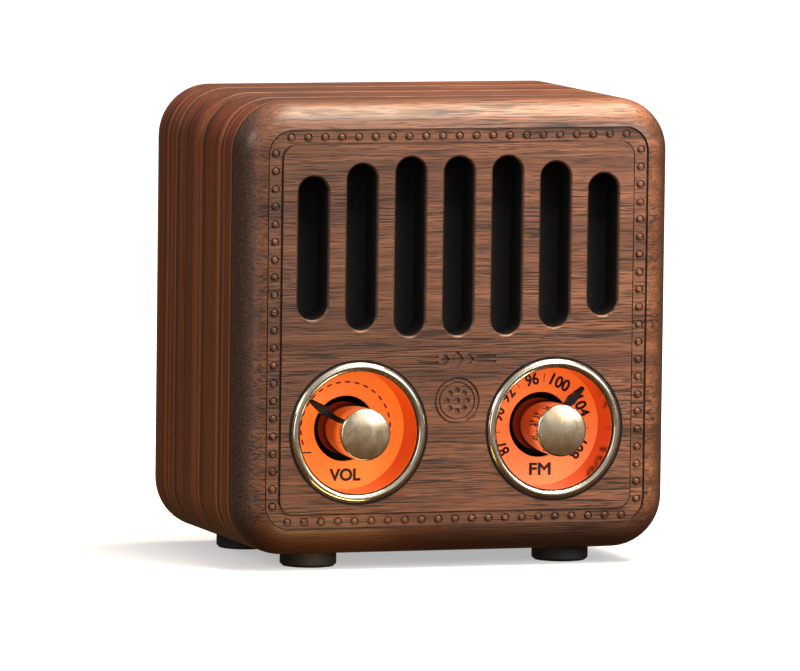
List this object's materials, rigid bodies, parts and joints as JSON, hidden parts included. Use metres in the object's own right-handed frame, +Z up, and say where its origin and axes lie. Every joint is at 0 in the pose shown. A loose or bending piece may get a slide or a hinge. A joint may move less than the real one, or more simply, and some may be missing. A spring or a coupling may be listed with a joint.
{
  "type": "tabletop radio",
  "caption": "Small tabletop radio in a layered walnut cabinet with upright sound slots, a carved studded border, backlit round dials with brass knobs, and rubber feet.",
  "frame": {"origin": "centre of the radio's footprint, knobs and switch counted, on the surface that it stands on", "axes": "+Z up; the front with the dials faces -Y; +X to the right as seen from the front"},
  "size_m": [0.086, 0.0628, 0.089],
  "materials": {
    "walnut": "satin, horizontal grain on the front, laminated bands round the sides",
    "black_plastic": "fine moulded grain",
    "black_gloss": "polished",
    "switch_cap": "moulded",
    "rubber": "matt",
    "speaker_rubber": "matt",
    "screw_steel": "zinc plated, dark",
    "zinc_steel": "zinc plated",
    "grille_cloth": "woven",
    "speaker_paper": "pressed pulp",
    "speaker_cloth": "impregnated weave",
    "ferrite": "sintered",
    "copper": "copper",
    "brass": "polished, pale",
    "plain_brass": "machined",
    "shaft_steel": "ground",
    "dial_orange": "translucent, backlit",
    "circuit_board": "solder mask",
    "chip_black": "moulded",
    "shield_tin": "tinned",
    "capacitor_can": "sleeved",
    "battery_wrap": "shrink wrap",
    "lens": "clear",
    "dial_ink": "printed"
  },
  "bodies": {
    "cabinet": {"front_panel": "walnut", "middle_frame_front": "walnut", "middle_frame_rear": "walnut", "rear_frame": "walnut", "rear_cover": "black_plastic", "baffle_plate": "black_plastic", "volume_light_cup": "black_plastic", "tuning_light_cup": "black_plastic", "switch_body": "black_plastic", "battery_tray": "black_plastic", "volume_rim": "black_gloss", "tuning_rim": "black_gloss", "foot_front_left": "rubber", "foot_front_right": "rubber", "foot_rear_left": "rubber", "foot_rear_right": "rubber", "speaker_surround": "speaker_rubber", "cover_screws": "screw_steel", "foot_screws": "screw_steel", "baffle_screws": "screw_steel", "speaker_screws": "screw_steel", "bracket_screws": "screw_steel", "board_screws": "screw_steel", "control_bracket": "zinc_steel", "speaker_basket": "zinc_steel", "speaker_top_plate": "zinc_steel", "speaker_yoke": "zinc_steel", "volume_potentiometer": "zinc_steel", "tuning_capacitor": "zinc_steel", "grille_cloth": "grille_cloth", "speaker_cone": "speaker_paper", "speaker_dust_cap": "speaker_paper", "speaker_spider": "speaker_cloth", "speaker_magnet": "ferrite", "speaker_voice_coil": "copper", "antenna_strip": "copper", "volume_bezel": "brass", "tuning_bezel": "brass", "volume_nut": "plain_brass", "tuning_nut": "plain_brass", "bracket_standoffs": "plain_brass", "volume_dial": "dial_orange", "tuning_dial": "dial_orange", "main_board": "circuit_board", "volume_lamp_board": "circuit_board", "tuning_lamp_board": "circuit_board", "amplifier_chip": "chip_black", "aux_socket": "chip_black", "radio_module": "shield_tin", "usb_socket": "shield_tin", "board_capacitors": "capacitor_can", "battery": "battery_wrap", "status_lens": "lens"},
    "volume_control": {"volume_knob": "brass", "volume_shaft": "shaft_steel", "volume_pointer": "black_gloss"},
    "tuning_control": {"tuning_knob": "brass", "tuning_shaft": "shaft_steel", "tuning_pointer": "black_gloss"},
    "power_switch": {"switch_slider": "switch_cap"}
  },
  "joints": [
    {"name": "volume_turn", "type": "hinge", "parent": "cabinet", "child": "volume_control", "pos_m": [-0.01954, -0.02645, 0.0264], "axis": [0, 1, 0], "range_deg": [-70, 180]},
    {"name": "tuning_turn", "type": "hinge", "parent": "cabinet", "child": "tuning_control", "pos_m": [0.01954, -0.02645, 0.0264], "axis": [0, 1, 0], "range_deg": [-169, 81]},
    {"name": "power_slide", "type": "slide", "parent": "cabinet", "child": "power_switch", "axis": [1, 0, 0], "range_m": [0, 0.004]}
  ]
}
